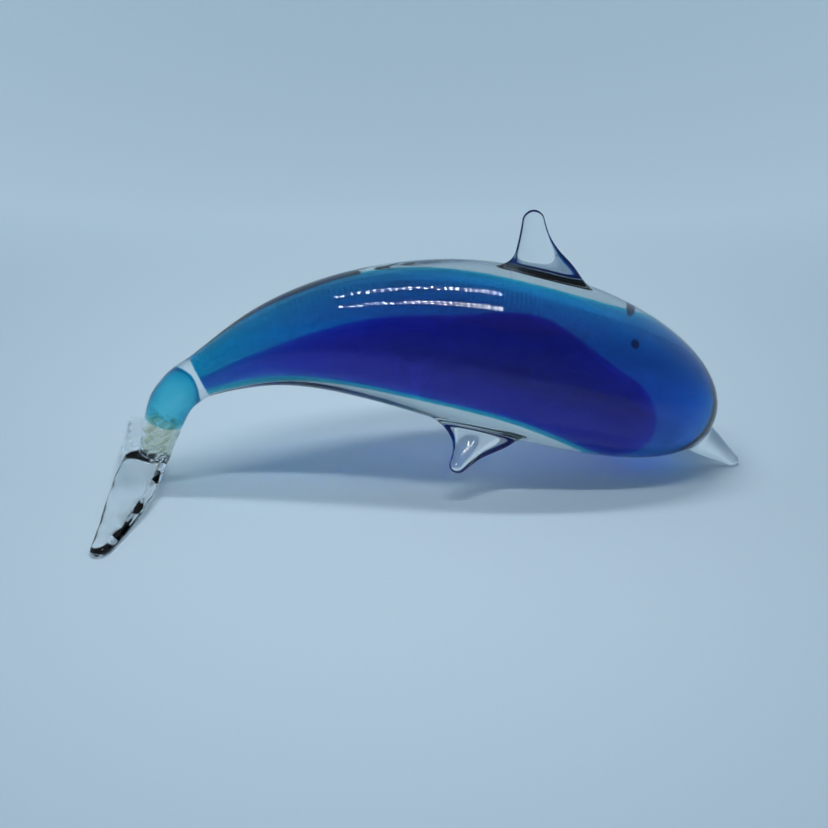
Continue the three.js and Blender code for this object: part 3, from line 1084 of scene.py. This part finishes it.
@dataclass
class Tail:
    """The drawn stem and the two lobes, melted together and divided where they were joined."""

    body: Body
    stem_line: tuple = (
        (0, 0, 0),
        (-6.7, -1.1, -4.6),
        (-10.6, -1.5, -10.7),
        (-13, -1.7, -17.2),
        (-15.6, -1.9, -25.6),
    )
    stem_radius: float = 6.4
    root_radius: float = 4.6
    set_back: float = 2.4
    right_reach: tuple = (-4.9, -43.2)
    left_reach: tuple = (-13.5, 44)
    tip_height: float = 1.0
    sag: float = 2.2
    chord: float = 14.0
    thickness: float = 5.0
    tip: float = 0.07
    level_share: float = 0.75
    overlap: float = 0.02
    body_share: float = 0.12
    sides: int = 64
    grain: float = 0.32
    melt_passes: int = 24
    settle_passes: int = 6
    crease: float = 40.0
    lump_size: float = 9.0
    lump_height: float = 0.5
    bulb_ends: tuple = (0.06, 0.6)
    bulb_radius: float = 4.8
    bulb_wall: float = 0.5
    bulb_dome: float = 0.2
    strands: int = 6
    strand_ends: tuple = (0.5, 0.97)
    strand_radius: float = 0.75
    strand_circle: float = 2.3
    twists: float = 0.8
    wander: float = 0.25
    thicker: float = 0.3

    def __post_init__(self) -> None:
        """Lay the stem from the tail join and find the root of the lobes."""
        self.join = self.body.path.point(np.array([0.0]))[0]
        self.stem = Path(self.stem_line, self.join)
        self.root = self.join + np.array(self.stem_line[-1]) - np.array([self.set_back, 0, 0])

    def _stem(self) -> Limb:
        """Return the stem, which thins evenly towards its root."""
        thins = self.root_radius - self.stem_radius
        return Limb.rod(self.stem, lambda t: self.stem_radius + thins * np.clip(t, 0, 1) ** 2)

    def _lobe(self, reach: tuple) -> Limb:
        """Return a lobe from the root to where it reaches."""
        drop = self.root[2] - self.tip_height
        middle = (reach[0] / 2, reach[1] / 2, -drop / 2 - self.sag)
        path = Path([(0, 0, 0), middle, (reach[0], reach[1], -drop)], self.root)
        wide = stations((0, 0.95), (0.25, 1), (0.7, 0.66), (1, 0.36))
        deep = stations((0, 1), (0.5, 0.75), (1, 0.6))
        chord, thickness = blunted(self.chord, wide, self.tip), blunted(self.thickness, deep, self.tip)
        return Limb(path, FORWARDS, chord, thickness)

    def _melted(self) -> bpy.types.Mesh:
        """Return the stem, the lobes and the end of the body as one softened skin."""
        lobes = [self._lobe(reach) for reach in (self.right_reach, self.left_reach)]
        skins = [
            self._stem().skin(0, 1.0, 50, self.sides),
            *[lobe.skin(-self.overlap, 1.0, 90, self.sides) for lobe in lobes],
            self.body.limb().skin(0, self.body_share, 60, 96),
        ]
        remesh = {"mode": "VOXEL", "voxel_size": self.grain, "use_smooth_shade": True}
        lumps = bpy.data.textures.new("hand_worked_lumps", "CLOUDS")
        lumps.noise_scale = self.lump_size
        lumps.noise_depth = 1
        uneven = {
            "texture": lumps, "texture_coords": "LOCAL", "strength": self.lump_height, "mid_level": 0.5
        }
        melt = {"factor": 0.5, "iterations": self.melt_passes}
        settle = {"factor": 0.5, "iterations": self.settle_passes}
        steps = (("REMESH", remesh), ("SMOOTH", melt), ("DISPLACE", uneven), ("SMOOTH", settle))
        return modified(joined(skins, "tail"), *steps)

    def _bulb(self) -> Skin:
        """Return the thin blue cup, domed towards the body, that colours the inside of the stem."""
        dome, lip = self.bulb_ends
        inner_dome = dome + self.bulb_wall / self.stem.length

        def cup(top: float, wall: float) -> list[np.ndarray]:
            """Return rings from the lip up to a dome."""
            full = self.bulb_radius - wall
            limb = Limb.rod(self.stem, lambda t: full * round_off(1 - t, 1 - top, self.bulb_dome))
            return limb.rings(cosine_steps(lip, top, 61)[:-1], self.sides)

        inside = cup(inner_dome, self.bulb_wall)[::-1]
        poles = self.stem.point(np.array([inner_dome, dome]))
        return Skin([*inside, *cup(dome, 0.0)], poles[0], poles[1])

    def _strand(self, number: int) -> Skin:
        """Return one of the smoky strands that twist together below the cup."""
        start, end = self.strand_ends
        t = np.linspace(start, end, 24)
        side, up = self.stem.across(t, SIDEWAYS)
        angle = 2 * math.pi * (number / self.strands + self.twists * (t - start) / (end - start))
        away = self.strand_circle * (1 + self.wander * np.sin(3 * angle + number))
        points = self.stem.point(t) + (side.T * np.cos(angle) * away + up.T * np.sin(angle) * away).T
        full = self.strand_radius * (1 + self.thicker * (number % 2))
        limb = Limb.rod(Path(points), lambda t: full * np.sqrt(np.clip(1 - (2 * t - 1) ** 4, 0, 1)))
        return limb.bead(80, 24)

    def build(self) -> None:
        """Make the stem and the two lobes."""
        melted = self._melted()
        along = self.body.path.tangent(np.array([0.0]))[0]
        level = self.root + UPWARDS * self.thickness * self.level_share
        gap = GROUND_GAP
        stem = sliced(melted, self.join - along * gap, -along, Face.FUSED)
        lobes = sliced(stem, level, -UPWARDS, Face.FUSED)
        stem = sliced(stem, level + UPWARDS * gap, UPWARDS, Face.FUSED)
        lobes = sliced(lobes, UPWARDS * gap, UPWARDS, Face.OPEN)
        near = sliced(lobes, self.root - SIDEWAYS * gap, -SIDEWAYS, Face.FUSED)
        far = sliced(lobes, self.root + SIDEWAYS * gap, SIDEWAYS, Face.FUSED)
        for mesh in (stem, near, far):
            mesh.set_sharp_from_angle(angle=math.radians(self.crease))
        make_piece("stem", stem, CRYSTAL, "tail_stem")
        make_piece("stem_tint", self._bulb().to_mesh("stem_tint"), STEM_BLUE, "tail_stem")
        strands = joined([self._strand(number) for number in range(self.strands)], "stem_swirl")
        make_piece("stem_swirl", strands, SMOKE, "tail_stem")
        make_piece("lobe_near", near, CRYSTAL, "fluke_right")
        make_piece("lobe_far", far, CRYSTAL, "fluke_left")


# ---- The painted reflection: two dark dots on the head ------------------------------------------


@dataclass
class ReflectionDots:
    """Two dots of dark glass on the coloured layer under the casing: a painted reflection on the head.
    """

    body: Body
    at: float = 0.775
    lean_near: float = 27.0
    lean_far: float = 62.0
    radius: float = 1.35
    thickness: float = 1.6
    above: float = 0.1

    def _dot(self, degrees: float) -> Skin:
        """Return one dot, leaning from straight up; it is thicker in the middle than at its edge."""
        body, half = self.body, self.thickness / 2
        above = self.above + half
        middle, out = body.over(self.at, degrees, body.overlay_radius, body.overlay_rise, above)
        path = Path([middle - out * half, middle, middle + out * half])
        limb = Limb.rod(
            path, lambda t: self.radius * np.sqrt(np.clip(1 - (2 * t - 1) ** 2, 0, 1)), sideways=FORWARDS
        )
        return limb.bead(24, 48)

    def build(self) -> None:
        """Make both dots of the painted reflection."""
        # each dot is a painted reflection: dark glass set where a reflection shows on the head
        make_piece("eye_near", self._dot(-self.lean_near).to_mesh("eye_near"), PAINTED_REFLECTION_GLASS, "eye_right")
        make_piece("eye_far", self._dot(self.lean_far).to_mesh("eye_far"), PAINTED_REFLECTION_GLASS, "eye_left")


# ---- The studio ---------------------------------------------------------------------------------


@dataclass
class Studio:
    """A small light box: a pale sweep, two strips of lamps overhead and soft light all round."""

    camera_at: tuple = (-0.003, -0.303, 0.164)
    pitch: float = 25.0
    spread: float = 40.0
    floor_radius: float = 0.32
    curve_radius: float = 0.15
    wall_top: float = 0.5
    floor_colour: tuple = (0.55, 0.69, 0.79)
    glow_colour: tuple = (0.5, 0.6, 0.66)
    strip_height: float = 0.3
    strip_ends: tuple = (-0.11, 0.08)
    strip_places: tuple = (-0.082, 0.029)
    row_gap: float = 0.0083
    lamp_pairs: int = 25
    lamp_size: float = 0.0034
    glow: float = 90.0
    strip_power: float = 0.3
    sky: tuple = (0.2, 0.235, 0.26)
    back_glow: tuple = ((0.0, 0.02), (0.35, 0.22), (0.6, 0.36), (1.0, 0.26))
    glow_reach: float = 0.5
    floor_roughness: float = 0.9
    speckle: float = 0.96
    speckle_scale: float = 900.0

    def camera(self) -> None:
        """Place the camera."""
        lens = bpy.data.cameras.new("camera")
        lens.angle = math.radians(self.spread)
        lens.clip_start = 0.01
        view = placed("camera", lens)
        view.location = self.camera_at
        view.rotation_euler = (math.radians(90 - self.pitch), 0, 0)
        bpy.context.scene.camera = view

    def _sweep_profile(self) -> list[tuple[float, float]]:
        """Return (radius, height) from the middle of the floor to the top of the wall."""
        floor, curve = self.floor_radius, self.curve_radius
        bend = [math.radians(angle) for angle in range(0, 91, 5)]
        rise = [(floor + curve * math.sin(a), curve * (1 - math.cos(a))) for a in bend]
        flat = [(floor * k / 8, 0.0) for k in range(1, 8)]
        return [*flat, *rise, (rise[-1][0], self.wall_top)]

    def sweep(self) -> None:
        """Make the floor and the wall that it curves up into."""
        sides = 128
        profile = self._sweep_profile()
        angles = turns(sides)
        verts = [(0.0, 0.0, 0.0)]
        verts += [(r * math.cos(a), r * math.sin(a), z) for r, z in profile for a in angles]
        faces = [(0, 1 + j, 1 + (j + 1) % sides) for j in range(sides)]
        for i in range(len(profile) - 1):
            low, high = 1 + i * sides, 1 + (i + 1) * sides
            for j in range(sides):
                k = (j + 1) % sides
                faces.append((low + j, high + j, high + k, low + k))
        mesh = bpy.data.meshes.new("sweep")
        mesh.from_pydata(verts, [], faces)
        mesh.polygons.foreach_set("use_smooth", [True] * len(faces))
        sweep = placed("sweep", mesh)
        mesh.materials.append(self._sweep_finish())

    def _sweep_finish(self) -> bpy.types.Material:
        """Return the sweep's pale finish, with a glow that grows towards the back wall."""
        tree = Tree("pale_sweep")
        grain = tree.noise(tree.position(), self.speckle_scale)
        darker = tuple(self.speckle * channel for channel in self.floor_colour)
        colour = grain.between(self.floor_colour, darker)
        depth = tree.add("ShaderNodeSeparateXYZ", {}, {"Vector": tree.position()}, "Y")
        ends = {"Value": depth, "From Min": 0.0, "From Max": self.glow_reach}
        glow = tree.ramp(tree.add("ShaderNodeMapRange", {}, ends), self.back_glow)
        values = {
            "Base Color": colour,
            "Roughness": self.floor_roughness,
            "Emission Color": glow * self.glow_colour,
            "Emission Strength": 1.0,
        }
        return tree.finished(values)

    def lamps(self) -> None:
        """Make each strip: a soft lamp for the light, and a double row of bright dots to be mirrored."""
        start, end = self.strip_ends
        tree = Tree("lamp_dots")
        shader = tree.add("ShaderNodeEmission", {}, {"Color": WHITE, "Strength": self.glow})
        tree.add("ShaderNodeOutputMaterial", {}, {"Surface": shader})
        for name, place in zip(("front", "back"), self.strip_places):
            light = bpy.data.lights.new(f"strip_{name}", "AREA")
            light.shape = "RECTANGLE"
            light.size = end - start
            light.size_y = 2 * self.row_gap
            light.energy = self.strip_power
            lamp = placed(f"strip_{name}", light)
            lamp.location = ((start + end) / 2, place, self.strip_height)
            lamp.visible_glossy = False
            self._dots(name, place, tree.material)

    def _dots(self, name: str, place: float, material: bpy.types.Material) -> None:
        """Make one strip's double row of dots, which only mirror-like reflections see."""
        start, end = self.strip_ends
        half = self.lamp_size / 2
        verts, faces = [], []
        for x in np.linspace(start, end, self.lamp_pairs):
            for y in (place - self.row_gap, place + self.row_gap):
                first = len(verts)
                corners = ((-half, -half), (-half, half), (half, half), (half, -half))
                verts += [(x + u, y + v, self.strip_height) for u, v in corners]
                faces.append((first, first + 1, first + 2, first + 3))
        mesh = bpy.data.meshes.new(f"dots_{name}")
        mesh.from_pydata(verts, [], faces)
        mesh.materials.append(material)
        dots = placed(f"dots_{name}", mesh)
        dots.visible_camera = False
        dots.visible_diffuse = False
        dots.visible_transmission = False
        dots.visible_shadow = False

    def surroundings(self) -> None:
        """Set the soft light all round and how colours are shown."""
        world = bpy.data.worlds.new("surroundings")
        bpy.context.scene.world = world
        world.use_nodes = True
        background = world.node_tree.nodes["Background"]
        background.inputs["Color"].default_value = (*self.sky, 1.0)
        background.inputs["Strength"].default_value = 1.0
        scene = bpy.context.scene
        scene.view_settings.view_transform = "Standard"
        scene.cycles.max_bounces = 48
        scene.cycles.transmission_bounces = 40
        scene.cycles.transparent_max_bounces = 16

    def build(self) -> None:
        """Set up the whole light box."""
        self.camera()
        self.sweep()
        self.lamps()
        self.surroundings()


def main() -> None:
    """Build the figurine and its studio."""
    Studio().build()
    body = Body()
    cutters = build_grafts(body)
    CasedBody(body).build(cutters)
    Tail(body).build()
    # the two dark dots on the head are a painted reflection
    ReflectionDots(body).build()


if __name__ == "__main__":
    logging.basicConfig(level=logging.INFO)
    main()
